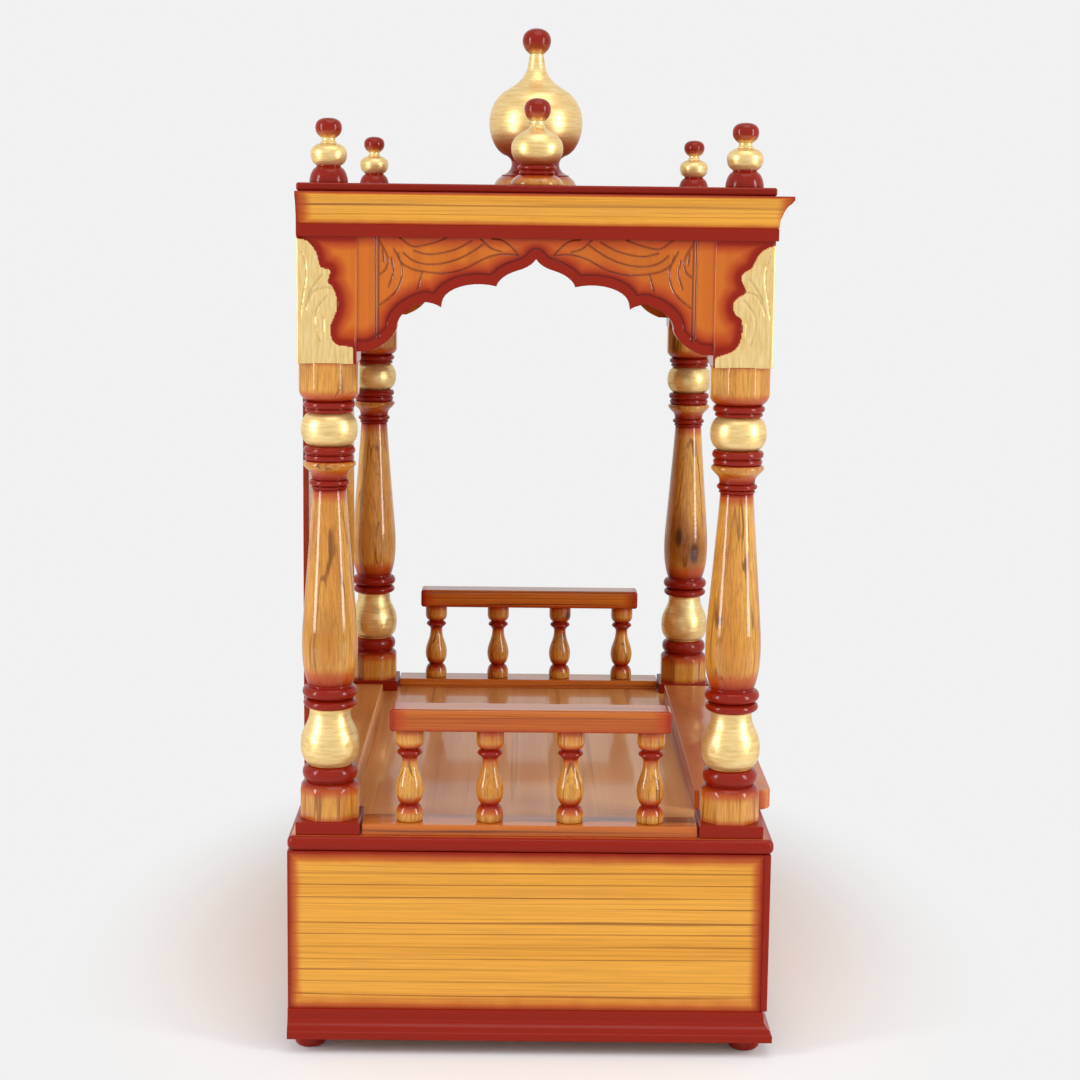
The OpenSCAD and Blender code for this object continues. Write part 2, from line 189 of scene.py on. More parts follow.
def lacquered_wood(name, grain, tones, spacing=9.0, turn=0.0, knots=0.0, rough=0.24, coat=0.45,
                   figure=6.0, fibre=0.25, run=0.018, strokes=(1.0, 1.0, 0.12)):
    """Clear lacquer on wood whose grain runs along axis number grain. tones are the dark line,
    the middle and the pale wood; spacing is the mean distance between grain lines in mm, and run
    how much slower the figure changes along the board than across it. strokes draws out the
    brush marks of the gold, most along the axis with the least number."""
    material = bpy.data.materials.new(name)
    material.use_nodes = True
    tree = material.node_tree
    tree.nodes.clear()
    place = add(tree, "TexCoord", out="Object")
    along = [1.0, 1.0, 1.0]
    along[grain] = run
    drawn = add(tree, "Mapping", {"Vector": place, "Scale": along,
                                  "Rotation": (turn, turn * 0.7, turn * 0.4)})
    patches = add(tree, "TexNoise", {"Vector": drawn, "Scale": 60.0, "Detail": 2.0})
    fibres = add(tree, "TexNoise", {"Vector": drawn, "Scale": 900.0, "Detail": 3.0,
                                    "Roughness": 0.65})
    worn = add(tree, "MapRange", {0: patches, 1: 0.35, 2: 0.7}, **SMOOTH)
    wood = add(tree, "Mix", {0: worn, 6: tones[2], 7: tones[1]}, **BLEND)
    fine = add(tree, "MapRange", {0: fibres, 1: 0.35, 2: 0.75, 4: fibre}, **SMOOTH)
    wood = add(tree, "Mix", {0: fine, 6: wood, 7: tones[0]}, **BLEND)
    for part, width, dark in ((1.0, 0.06, 0.85), (0.41, 0.1, 0.3)):
        rings = add(tree, "TexWave", {
            "Vector": drawn, "Scale": math.pi / (10 * spacing * part * MM),
            "Distortion": figure, "Detail": 3.0, "Detail Scale": 1.3, "Detail Roughness": 0.62,
            "Phase Offset": 9 * part}, out="Fac", bands_direction="Z" if grain != 2 else "X")
        line = add(tree, "MapRange", {0: rings, 2: width, 3: dark, 4: 0.0}, **SMOOTH)
        faint = add(tree, "TexNoise", {"Vector": drawn, "Scale": 170.0 * part, "Detail": 1.0})
        faint = add(tree, "MapRange", {0: faint, 1: 0.36, 2: 0.6, 3: 0.2, 4: 1.0}, **SMOOTH)
        line = add(tree, "Math", {0: line, 1: faint}, operation="MULTIPLY")
        wood = add(tree, "Mix", {0: line, 6: wood, 7: tones[0]}, **BLEND)
    if knots:
        cells = [1.0, 1.0, 1.0]
        cells[grain] = 0.45
        spread = add(tree, "Mapping", {"Vector": place, "Scale": cells})
        knot = add(tree, "TexVoronoi", {"Vector": spread, "Scale": knots}, out="Distance")
        halo = add(tree, "MapRange", {0: knot, 1: 0.1, 2: 0.26, 3: 0.75, 4: 0.0}, **SMOOTH)
        heart = add(tree, "MapRange", {0: knot, 1: 0.05, 2: 0.1, 3: 0.85, 4: 0.0}, **SMOOTH)
        wood = add(tree, "Mix", {0: halo, 6: wood, 7: "#8A4A16"}, **BLEND)
        wood = add(tree, "Mix", {0: heart, 6: wood, 7: "#3A1A08"}, **BLEND)
    red = add(tree, "Attribute", out="Fac", attribute_name="red")
    gold = add(tree, "Attribute", out="Fac", attribute_name="gold")
    cut = add(tree, "Attribute", out="Fac", attribute_name="cut")
    drift = add(tree, "TexNoise", {"Vector": place, "Scale": 70.0, "Detail": 2.0})
    drift = add(tree, "MapRange", {0: drift, 3: -0.08, 4: 0.08})
    red = add(tree, "Math", {0: red, 1: drift}, operation="ADD")
    thin = add(tree, "MapRange", {0: red, 1: 0.08, 2: 0.55, 4: 0.82}, **SMOOTH)
    thick = add(tree, "MapRange", {0: red, 1: 0.45, 2: 0.95}, **SMOOTH)
    swept = add(tree, "Mapping", {"Vector": place, "Scale": strokes})
    brushed = add(tree, "TexNoise", {"Vector": swept, "Scale": 700.0, "Detail": 3.0,
                                     "Roughness": 0.6})
    gilt = add(tree, "ValToRGB", {0: brushed}, stops=[(0.25, "#D8B26C"), (0.5, "#E8C886"),
                                                      (0.8, "#F3DBA6")])
    gilded = add(tree, "MapRange", {0: gold, 1: 0.42, 2: 0.58}, **SMOOTH)
    body = add(tree, "Mix", {0: gilded, 6: wood, 7: gilt}, **BLEND)
    body = add(tree, "Mix", {0: thin, 6: body, 7: RED_THIN}, **BLEND)
    body = add(tree, "Mix", {0: thick, 6: body, 7: RED}, **BLEND)
    # Carved grooves are darkened towards #4E1408 by cut: this is painted shade in the V cuts and veins.
    dark = add(tree, "Math", {0: cut, 1: 0.8}, operation="MULTIPLY")
    body = add(tree, "Mix", {0: dark, 6: body, 7: "#4E1408"}, **BLEND)
    bare = add(tree, "Math", {0: 1.0, 1: thick}, operation="SUBTRACT")
    gilded = add(tree, "Math", {0: gilded, 1: bare}, operation="MULTIPLY")
    marks = add(tree, "Math", {0: brushed, 1: gilded}, operation="MULTIPLY")
    height = add(tree, "Math", {0: fibres, 1: 0.4, 2: marks}, operation="MULTIPLY_ADD")
    gloss = add(tree, "MapRange", {0: thick, 3: coat, 4: 0.35 * coat})
    shine = {"Base Color": body,
             "Normal": add(tree, "Bump", {"Height": height, "Strength": 0.2,
                                          "Distance": 0.1 * MM}),
             "Metallic": add(tree, "MapRange", {0: gilded, 4: 0.62}),
             "Roughness": add(tree, "MapRange", {0: gilded, 3: rough, 4: 0.36}),
             "Coat Weight": add(tree, "MapRange", {0: gilded, 3: gloss, 4: 0.1})}
    shader = add(tree, "BsdfPrincipled", {**shine, **LACQUER})
    add(tree, "OutputMaterial", {"Surface": shader})
    return material


HONEY = ("#8A5018", "#DC9830", "#E6A43C")
RING = (0.12, 0.12, 1.0)
side_wood = lacquered_wood("honey_lacquered_board_along_y", 1, HONEY, spacing=8)
front_wood = lacquered_wood("honey_lacquered_board_along_x", 0, HONEY, spacing=8)
block_wood = lacquered_wood("orange_lacquered_upright", 2, ("#A04C12", "#BC5E14", "#CA6C18"),
                            spacing=14, figure=5.0, fibre=0.15)
turned_wood = lacquered_wood("turned_knotty_softwood", 2, ("#6E3A12", "#C98430", "#DCA048"),
                             spacing=7, knots=17.0, rough=0.2, coat=0.7, turn=0.3, fibre=0.45,
                             figure=9.0, run=0.07,
                             strokes=RING)
rail_wood = lacquered_wood("orange_brown_lacquered_rail", 1, ("#4A1A08", "#B05418", "#CC7222"),
                           spacing=6, figure=8.0, rough=0.2, coat=0.6)
floor_wood = lacquered_wood("brown_gloss_floor_board", 0, ("#C4854A", "#DE9A56", "#EAAC68"),
                            spacing=9, rough=0.34, coat=0.4, fibre=0.15)
plain_wood = lacquered_wood("plain_softwood_board", 1, ("#A8804E", "#C8A06C", "#D8B482"),
                            spacing=10, rough=0.6, coat=0.0)
print("woods", [m.name for m in bpy.data.materials if m.users == 0])

# %% [markdown]
# ## Boards
# A board has its edges eased by sandpaper, so light runs along them. The surface is a box's grid
# whose points are first pulled to the box shrunk by the radius, then pushed out by that radius
# along the same line. Grid lines crowd near the edges, where the sprayed red fades.

# %% A board with eased edges
FADE_LINES = np.array([0, 0.4, 0.8, 1.6, 3, 4.5, 6, 8, 10, 13, 17, 22])


def lines(low, high, radius, step=12.0):
    """Grid lines from low to high: close together near both ends, step apart in the middle."""
    ends = np.unique(np.append(FADE_LINES, radius * np.array([0.15, 0.4, 0.7, 1.0])))
    ends = ends[ends < (high - low) / 2 - 0.2]
    middle = np.linspace(low + ends[-1], high - ends[-1],
                         max(2, math.ceil((high - low - 2 * ends[-1]) / step) + 1))
    return np.unique(np.round(np.concatenate([low + ends, middle, high - ends]), 4))


def board(low, high, radius=0.8, step=12.0, cuts=None):
    """The box from low to high as six grids. Point p goes to c + radius (p - c) / |p - c|, where
    c is p pulled into the box shrunk by radius. cuts may give the grid lines of an axis."""
    low, high = np.asarray(low, float), np.asarray(high, float)
    rules = [(cuts or {}).get(i, lines(low[i], high[i], radius, step)) for i in range(3)]
    parts = []
    for axis in range(3):
        b, c = (axis + 1) % 3, (axis + 2) % 3
        u, v = np.meshgrid(rules[b], rules[c], indexing="ij")
        for end, edge in enumerate((low[axis], high[axis])):
            points = np.empty((u.size, 3))
            points[:, axis], points[:, b], points[:, c] = edge, u.ravel(), v.ravel()
            core = np.clip(points, low + radius, high - radius)
            off = points - core
            points = core + radius * off / np.linalg.norm(off, axis=1, keepdims=True)
            quads = grid_quads(*u.shape)
            parts.append((points, quads if end else quads[:, ::-1]))
    return join(*parts)


def near_edges(points, low, high, axes, reach=12.0):
    """How red the spray is: 1 at the box's edges across those axes, 0 from reach inwards."""
    gap = np.min([np.minimum(points[:, i] - low[i], high[i] - points[:, i]) for i in axes], axis=0)
    return np.clip(1 - gap / reach, 0, 1) ** 1.3


# %% [markdown]
# ## The base
# Four boards make a hollow box, with a thin facing over the front and a plain bottom inside.
# The side boards are honey-coloured with long dark grain lines, and a red frame is sprayed
# round them by hand, so it is softer at some places than at others.

# %% Base boards
for node in ("base_left_panel", "base_right_panel"):
    low, high = box_of(node)
    make_piece(node + "_board", [board(low, high, 0.6)], side_wood, [node],
               lambda p: {"red": near_edges(p, low + [0, 0, 16], high, (1, 2), 11)})
for node in ("base_facing", "base_front_panel", "base_back_panel"):
    low, high = box_of(node)
    lift = 0 if node == "base_facing" else 16
    make_piece(node + "_board", [board(low, high, 0.6)], front_wood, [node],
               lambda p: {"red": near_edges(p, low + [0, 0, lift], high, (0, 2), 11)})
low, high = box_of("base_bottom")
make_piece("base_bottom_board", [board(low, high, 0.4)], plain_wood,
           ["base_bottom"])
print("base from", low.round(1), "to", high.round(1))

# %% [markdown]
# ## The deck
# The deck board has a round nose on three sides, lacquered red, and a brown gloss top. The step
# board at the front, the ledge at the back and the four pads under the columns lie on it.

# %% Deck, step, ledge and pads
low, high = box_of("deck_board")
nose = (high[2] - low[2]) / 2 - 0.6
long = high + [0, nose, 0]
make_piece("deck_board_round_nosed", [board(low, high, 4.0)], floor_wood,
           ["deck_board"],
           lambda p: {"red": np.where(p[:, 2] > high[2] - 0.2, near_edges(
               p, low, long, (0, 1), 10), 1.0)})
low, high = box_of("back_ledge")
make_piece("back_ledge_strip", [board(low, high, 0.8)], floor_wood,
           ["back_ledge"], lambda p: {"red": 0.5 * near_edges(p, low, high, (0,), 10)})


def plate(low, high, corner, ease, count=9):
    """A board whose two front corners are round in plan. Its outline is carried up in rings that
    step in by ease (1 - sin a) while they rise by ease (1 - cos a), which eases its edges."""
    t = np.linspace(0, math.pi / 2, count)
    arc = corner * np.column_stack([1 - np.cos(t), 1 - np.sin(t)])
    outline = np.concatenate([[[low[0], high[1]]], arc + low[:2],
                              ([high[0], low[1]] + arc * [-1, 1])[::-1], [[high[0], high[1]]]])
    middle, half = (low[:2] + high[:2]) / 2, (high[:2] - low[:2]) / 2
    a = np.linspace(0, math.pi / 2, 5)
    inset, rise = ease * (1 - np.sin(a)), ease * (1 - np.cos(a))
    inset, level = np.append(inset, inset[::-1]), np.append(low[2] + rise, high[2] - rise[::-1])
    shrink = 1 - inset[:, None, None] / half
    plan = middle + (outline - middle) * shrink
    points = np.dstack([plan, np.broadcast_to(level[:, None], plan.shape[:2])])
    rows, cols = points.shape[:2]
    caps = (np.arange(cols)[::-1], (rows - 1) * cols + np.arange(cols))
    return points.reshape(-1, 3), grid_quads(rows, cols, wrap=True), caps


low, high = box_of("front_step")
make_piece("front_step_board", [plate(low, high, 9.0, 1.2)], floor_wood,
           ["front_step"], lambda p: {"red": 0.55 * near_edges(p, low, high, (0, 1), 8)})
low, high = box_of("column_pads")
pad = 40.0
pads = [board([x, y, low[2]], [x + pad, y + pad, high[2]], 0.9)
        for x in (low[0], high[0] - pad) for y in (low[1], high[1] - pad)]
make_piece("column_pads_red", pads, floor_wood, ["column_pads"],
           lambda p: {"red": np.ones(len(p))})
print("deck top at", box_of("deck_board")[1, 2], "mm, pads to", high[2], "mm")

# %% [markdown]
# ## Mouldings
# The plinth and the cornice are lengths of planed moulding, mitred at the two front corners.
# A moulding is one profile carried along a line. At a mitre each profile point starts as far
# past the corner as it stands out, which makes the 45 degree cut with no boolean.

# %% Profiles, and a moulding along a line
def curve(p, q, r, s, count=8):
    """Points of a cubic Bezier curve from p to s, pulled towards q and r."""
    t = np.linspace(0, 1, count + 1)[:, None]
    p, q, r, s = (np.array(v, float) for v in (p, q, r, s))
    return (1 - t) ** 3 * p + 3 * (1 - t) ** 2 * t * q + 3 * (1 - t) * t ** 2 * r + t ** 3 * s


def bead(radius, out, low, high, count=9):
    """Half an ellipse that bulges from radius to out between two heights."""
    a = np.linspace(-math.pi / 2, math.pi / 2, count)
    return np.column_stack([radius + (out - radius) * np.cos(a),
                            (low + high) / 2 + (high - low) / 2 * np.sin(a)])


def dense(profile, step=1.0):
    """The profile with points added along it, so that none are further apart than step."""
    profile = np.asarray(profile, float)
    gap = np.linalg.norm(np.diff(profile, axis=0), axis=1)
    mark = np.concatenate([[0], np.cumsum(gap)])
    extra = np.arange(0, mark[-1], step)
    marks = np.unique(np.round(np.concatenate([mark, extra]), 5))
    return np.column_stack([np.interp(marks, mark, profile[:, i]) for i in (0, 1)])


def moulding(profile, start, end, mitres, place):
    """Point (u, (out, z)) is u from start - out at a mitred start to end + out at a mitred end.
    place turns (u, out, z) into x, y, z. Both ends are closed by caps."""
    out, z = profile[:, 0], profile[:, 1]
    inner = lines(start, end, 1.0, 14.0)[1:-1]
    share = np.concatenate([[0.0], (inner - start) / (end - start), [1.0]])[:, None]
    first = start - (out if mitres[0] else 0 * out)
    last = end + (out if mitres[1] else 0 * out)
    u = first + share * (last - first)
    points = place(u, np.broadcast_to(out, u.shape), np.broadcast_to(z, u.shape))
    rows, cols = u.shape
    caps = (np.arange(cols)[::-1], (rows - 1) * cols + np.arange(cols))
    return np.stack(points, axis=-1).reshape(-1, 3), grid_quads(rows, cols, wrap=True), caps


# %% Plinth and cornice
low, high = box_of("base_front_panel")
side_low, side_high = box_of("base_left_panel")
half_w, box_front, back = -side_low[0], side_low[1], side_high[1]
plinth_low, plinth_high = box_of("plinth_front")
out, base, tall = box_front - plinth_low[1], plinth_low[2], plinth_high[2] - plinth_low[2]
PLINTH = np.concatenate([
    [[0, 0], [out - 0.4, 0]], curve([out - 0.4, 0], [out, 0], [out, 0.2], [out, 0.6], 3),
    curve([out, 0.25 * tall - 0.5], [out, 0.25 * tall], [out - 0.2, 0.27 * tall],
          [out - 0.8, 0.28 * tall], 3),
    curve([out - 1.2, 0.33 * tall], [out - 1.3, 0.5 * tall], [3.1, 0.48 * tall],
          [2.7, 0.62 * tall], 8),
    [[2.2, 0.65 * tall], [1.8, 0.92 * tall]],
    curve([1.8, 0.93 * tall], [1.7, 0.98 * tall], [1.4, tall], [1.1, tall], 3), [[0, tall]]])
profile = PLINTH + [0, base]
make_piece("plinth_front_moulding", [moulding(
    profile, -half_w, half_w, (True, True), lambda u, o, z: (u, box_front - o, z))],
    front_wood, ["plinth_front"], lambda p: {"red": np.ones(len(p))}, 30)
for sign, node in ((-1, "plinth_left"), (1, "plinth_right")):
    make_piece(node + "_moulding", [moulding(
        profile, box_front, back, (True, False), lambda u, o, z: (sign * (half_w + o), u, z))],
        side_wood, [node], lambda p: {"red": np.ones(len(p))}, 30)

block_low, block_high = box_of("corner_block_front_left")
face_x, face_y0 = -block_low[0], block_low[1]
face_y1 = box_of("corner_block_back_left")[1, 1]
cornice_low, cornice_high = box_of("cornice_front")
out, base, tall = face_y0 - cornice_low[1], cornice_low[2], cornice_high[2] - cornice_low[2]
cove = curve([1.6, 0.31 * tall], [1.9, 0.6 * tall], [0.5 * out, 0.76 * tall],
             [out - 1.8, 0.86 * tall], 40)
stepped = cove + np.column_stack([0.4 * ((cove[:, 1] > 0.51 * tall) * 1.0
                                         + (cove[:, 1] > 0.81 * tall)), 0 * cove[:, 1]])
CORNICE = np.concatenate([
    [[0, 0], [1.1, 0]], curve([1.1, 0], [1.5, 0], [1.5, 0.2], [1.5, 0.5], 3),
    [[1.5, 0.27 * tall], [1.1, 0.285 * tall], [1.1, 0.3 * tall]],
    stepped,
    [[out - 0.8, 0.885 * tall]],
    curve([out - 0.3, 0.9 * tall], [out, 0.9 * tall], [out, 0.92 * tall], [out, 0.94 * tall], 3),
    curve([out, tall - 0.6], [out, tall - 0.2], [out - 0.2, tall], [out - 0.6, tall], 3),
    [[0, tall]]])
profile = CORNICE + [0, base]


def cornice_red(points, axis, start, end):
    """Red below the cove, along the very top, and at both ends."""
    level = (points[:, 2] - base) / tall
    rows = np.interp(level, [0, 0.27, 0.3, 0.42, 0.9, 0.96, 1], [1, 1, 0.5, 0.1, 0.08, 0.45, 1])
    gap = np.minimum(points[:, axis] - start, end - points[:, axis])
    return {"red": np.maximum(rows, np.clip(0.85 - gap / 14, 0, 1))}


make_piece("cornice_front_moulding", [moulding(
    profile, -face_x, face_x, (True, True), lambda u, o, z: (u, face_y0 - o, z))],
    front_wood, ["cornice_front"],
    lambda p: cornice_red(p, 0, -face_x - out, face_x + out), 30)
for sign, node in ((-1, "cornice_left"), (1, "cornice_right")):
    make_piece(node + "_moulding", [moulding(
        profile, face_y0, face_y1, (True, False), lambda u, o, z: (sign * (face_x + o), u, z))],
        side_wood, [node],
        lambda p: cornice_red(p, 1, face_y0 - out, face_y1), 30)
print("cornice stands out", round(out, 1), "mm and is", tall, "mm tall")

# %% [markdown]
# ## Turned pieces
# Feet, columns, balusters, finials and domes come off a lathe: one profile spun about an upright
# line. The wood was eight-sided stock, and the lathe left its ends as they were. So a column's
# radius at each height and angle is the smaller of the lathe's profile and the eight-sided
# block, and the curved shoulders on its facets come out by themselves.

# %% Spin a profile
def turned(profile, x, y, z, turns=72, flats=None):
    """Radius r(s) and height h(s) spun by angle t: (x + r cos t, y + r sin t, z + h). flats is
    the half width over an eight-sided block, which r never passes."""
    profile = np.asarray(profile, float)
    t = np.arange(turns) * 2 * math.pi / turns
    radius = np.broadcast_to(profile[:, :1], (len(profile), turns))
    if flats:
        eighth = math.pi / 4
        block = flats / np.cos((t + eighth / 2) % eighth - eighth / 2)
        radius = np.minimum(radius, np.minimum(block, flats * 1.068))
    points = np.stack([x + radius * np.cos(t), y + radius * np.sin(t),
                       z + profile[:, 1:] + 0 * t], axis=-1)
    return points.reshape(-1, 3), grid_quads(len(profile), turns, wrap=True)


def zone(height, stops):
    """A value that runs straight from stop to stop, each given as (height, value)."""
    return np.interp(height, [h for h, _ in stops], [v for _, v in stops])


FOOT = np.concatenate([[[0, 0], [6, 0]], curve([6, 0], [8.4, 0], [10, 1.6], [10, 4], 6),
                       [[10, 10], [0, 10]]])
for node in ("foot_front_left", "foot_front_right", "foot_back_left", "foot_back_right"):
    low, high = box_of(node)
    x, y = (low[:2] + high[:2]) / 2
    make_piece(node + "_turned", [turned(FOOT, x, y, low[2], 48)], turned_wood,
               [node], lambda p: {"red": np.ones(len(p))})

# %% Columns
COLUMN = dense(np.concatenate([
    [[0, 0], [30, 0], [30, 15]],
    curve([19.6, 15.5], [19.2, 19], [17.6, 21.8], [14.6, 23], 6),
    bead(14.6, 17.2, 23.4, 32.4),
    [[13.2, 32.8]], curve([12.6, 33.2], [18.6, 34.6], [20.6, 48], [15.6, 57]),
    curve([15.6, 57], [13.4, 61], [12.2, 65], [12.8, 68.6]),
    bead(13.2, 16.6, 69.3, 75.2, 7), bead(13.8, 17.1, 75.6, 83.2, 9),
    curve([13.6, 83.8], [16.9, 92], [18.2, 104], [16.6, 124], 10),
    curve([16.6, 124], [14.6, 150], [12.2, 178], [10.3, 205.5], 10),
    bead(9.8, 11.3, 205.8, 208, 5), bead(10, 12.5, 208, 211.9, 7),
    curve([10.9, 212.1], [10.6, 217], [14.4, 217.5], [16.2, 220.8], 6),
    curve([16.4, 221.2], [16.5, 222.4], [16, 223], [14.6, 223.4], 3),
    bead(13.8, 15.2, 223.6, 227.2, 5), bead(13.8, 15.9, 227.4, 232.4, 7),
    bead(11.5, 17.4, 232.8, 252.8, 15),
    bead(13.6, 14.8, 253, 255.4, 5), bead(13.6, 16, 255.6, 260, 7),
    curve([14.3, 260.3], [17.6, 262], [19.2, 266], [19.6, 270.5], 6),
    [[30, 271], [30, 283.5], [0, 283.5]]]), 1.6)
RED_STOPS = [(0, 0.5), (4, 0.15), (14, 0.2), (19, 0.6), (23, 1), (32.9, 1), (33, 0), (69, 0),
             (69.1, 1), (83.5, 1), (86, 0.75), (97, 0.12), (196, 0.05), (204, 0.6), (205.6, 1),
             (212, 1), (216, 0.6), (219.5, 0.15), (223, 0.3), (223.5, 1), (232.6, 1), (232.7, 0),
             (252.9, 0), (253, 1),
             (260.2, 1), (262, 0.7), (268, 0.12), (280, 0.05), (283.5, 0.35)]


def column_paint(points, foot):
    """Red and gold by height above the column's foot."""
    h = points[:, 2] - foot
    gold = ((h > 32.6) & (h < 69.0)) | ((h > 232.6) & (h < 252.9))
    return {"red": zone(h, RED_STOPS), "gold": gold.astype(float)}


for end in ("front_left", "front_right", "back_left", "back_right"):
    node = "column_" + end
    low, high = box_of(node)
    x, y = (low[:2] + high[:2]) / 2
    make_piece(node + "_turned", [turned(COLUMN, x, y, low[2], 96, flats=18.0)], turned_wood,
               [node], lambda p: column_paint(p, low[2]), 42)
print("columns are", high[2] - low[2], "mm tall with", len(COLUMN), "profile points")

# %% [markdown]
# ## Balustrades
# Four small balusters stand on a bottom board and carry a handrail that stops short of the
# columns. The balusters are honey-coloured, with red sprayed at each groove.

# %% Balusters, rails and bottom boards
BALUSTER = dense(np.concatenate([
    [[0, 0], [7.6, 0]],
    curve([8.2, 0.5], [9.1, 4], [8.4, 8.6], [5.4, 10.6], 8),
    curve([5.4, 10.7], [7.4, 12.6], [8.7, 16], [8.6, 20.4], 8),
    curve([8.6, 20.4], [8.3, 28], [4.6, 31], [4.7, 39], 10),
    curve([4.8, 39.6], [5.2, 40.8], [6.4, 41.8], [7.6, 42.8], 5),
    curve([7.9, 43.3], [7.9, 44.3], [7.2, 45.2], [5.9, 45.8], 4),
    curve([5.7, 46.2], [7.6, 47], [8.5, 48.4], [8.6, 51], 6),
    [[8.6, 58.5], [0, 58.5]]]), 0.9)
BALUSTER_RED = [(0, 0.05), (4, 0.1), (8, 0.65), (10.6, 1), (12.5, 0.75), (17, 0.12), (34, 0.1),
                (38, 0.35), (41, 0.9), (46.2, 1), (48, 0.55), (51, 0.15), (55, 0.3), (58.5, 0.8)]
for side in ("left", "right"):
    low, high = box_of("balusters_" + side)
    x = (low[0] + high[0]) / 2
    places = np.linspace(low[1] + 8.6, high[1] - 8.6, 4)
    make_piece("balusters_" + side + "_turned",
               [turned(BALUSTER, x, y, low[2], 56) for y in places], turned_wood,
               ["balusters_" + side],
               lambda p: {"red": zone(p[:, 2] - low[2], BALUSTER_RED)}, 42)
    rail_low, rail_high = box_of("handrail_" + side)
    make_piece("handrail_" + side + "_eased", [board(rail_low, rail_high, 2.2)], rail_wood,
               ["handrail_" + side],
               lambda p: {"red": np.maximum(
                   0.9 * near_edges(p, rail_low, rail_high, (1,), 16),
                   0.62 * np.clip(1 - (p[:, 2] - rail_low[2]) / 4.5, 0, 1))})
    sill_low, sill_high = box_of("sill_" + side)
    make_piece("sill_" + side + "_board", [board(sill_low, sill_high, 0.7)], rail_wood,
               ["sill_" + side],
               lambda p: {"red": 0.3 * near_edges(p, sill_low, sill_high, (1,), 12)})
print("balusters at", places.round(1), "mm along the side")

# %% [markdown]
# ## Carving
# A carved line is a V cut with a gouge, and the ground round a leaf is cut down a little. Both
# come from one number: the distance from a point of the face to a drawn line. It sinks the
# surface, and it also tells the paint where the leaf ends. The alternatives, booleans or a
# displacement modifier, would need far more faces for the same clean line.

# %% Distance to a line, and smooth lines
def smooth(path, count=6):
    """A Catmull-Rom curve through the points of the path, with count pieces between two."""
    p = np.asarray(path, float)
    p = np.concatenate([[2 * p[0] - p[1]], p, [2 * p[-1] - p[-2]]])
    t = (np.arange(count) / count)[:, None, None]
    a, b, c, d = p[:-3], p[1:-2], p[2:-1], p[3:]
    points = 0.5 * (2 * b + (c - a) * t + (2 * a - 5 * b + 4 * c - d) * t ** 2
                    + (3 * b - a - 3 * c + d) * t ** 3)
    return np.concatenate([points.transpose(1, 0, 2).reshape(-1, 2), p[-2:-1]])


def distance(points, path):
    """Distance from each point to the nearest place on a path of straight pieces."""
    best = np.full(len(points), np.inf)
    for start, step in zip(path[:-1], np.diff(path, axis=0)):
        share = np.clip((points - start) @ step / (step @ step + 1e-12), 0, 1)
        best = np.minimum(best, np.linalg.norm(points - start - share[:, None] * step, axis=1))
    return best


def inside(points, outline):
    """True where a level ray from the point crosses the closed outline an odd number of times."""
    odd = np.zeros(len(points), bool)
    for (ax, ay), (bx, by) in zip(outline, np.roll(outline, -1, axis=0)):
        spans = (ay > points[:, 1]) != (by > points[:, 1])
        meet = ax + (points[:, 1] - ay) * (bx - ax) / (by - ay if by != ay else 1e-9)
        odd ^= spans & (points[:, 0] < meet)
    return odd


# %% Gilded leaves on the corner blocks
LEAF_BACK = [(-3, 74.7), (2, 74.6), (6.5, 73.4), (10, 70), (12, 66.4), (13.4, 60.5), (14.6, 57.2),
             (20.8, 56.6), (19.6, 52), (18.2, 48.6), (21.5, 46.5), (23.6, 42), (24.5, 37.4),
             (24.2, 32), (22.4, 27.6), (20.4, 23.5), (20.2, 18), (21.6, 13.6), (24.6, 11),
             (33.4, 10.4), (34, 9), (34, -3)]
LEAF_FRONT = [(-3, 73.6), (2, 73.2), (6.2, 71.4), (10.4, 68), (12.6, 63), (14.4, 59.3),
              (20.7, 56.3), (19.6, 50.8), (16.4, 45), (21, 43.4), (24.8, 39.6), (24.9, 35),
              (22.6, 31.4), (19.2, 29.4), (18.7, 22.1), (20.4, 14.5), (24.4, 9.6), (34.4, 6.6),
              (35, 5), (35, -3)]
VEINS = [[(3.2, 66.6), (5.4, 59.9), (5.8, 51.1), (4, 40.7), (2.1, 28.1)],
         [(15.6, 53.3), (12, 48.8), (7.6, 41.4), (5.4, 31.8)],
         [(20.5, 45.4), (16.3, 45.4), (10.5, 43.2), (6.1, 34.8)],
         [(18.5, 40.7), (12.7, 33.3), (10.9, 25.9), (12.7, 17), (14.4, 13.4)],
         [(16.2, 27.5), (16.3, 18.5)]]
VEIN_PATHS = [smooth(v) for v in VEINS]


def chiselled(outline):
    """The open outline with each corner cut twice, a quarter of the way along both of its sides,
    and closed by way of the block's corner."""
    for _ in range(2):
        here, after = outline[:-1], outline[1:]
        cut = np.stack([0.75 * here + 0.25 * after, 0.25 * here + 0.75 * after], axis=1)
        outline = np.concatenate([outline[:1], cut.reshape(-1, 2), outline[-1:]])
    return np.concatenate([outline, [[-3, -3]]])


LEAVES = {end: chiselled(np.array(leaf, float))
          for end, leaf in (("back", LEAF_BACK), ("front", LEAF_FRONT))}


def leaf_numbers(flat, outline):
    """For face points (u, v): how far outside the leaf, and the distance to its veins."""
    edge = distance(flat, np.concatenate([outline, outline[:1]]))
    edge = np.where(inside(flat, outline), -edge, edge)
    return edge, np.min([distance(flat, path) for path in VEIN_PATHS], axis=0)


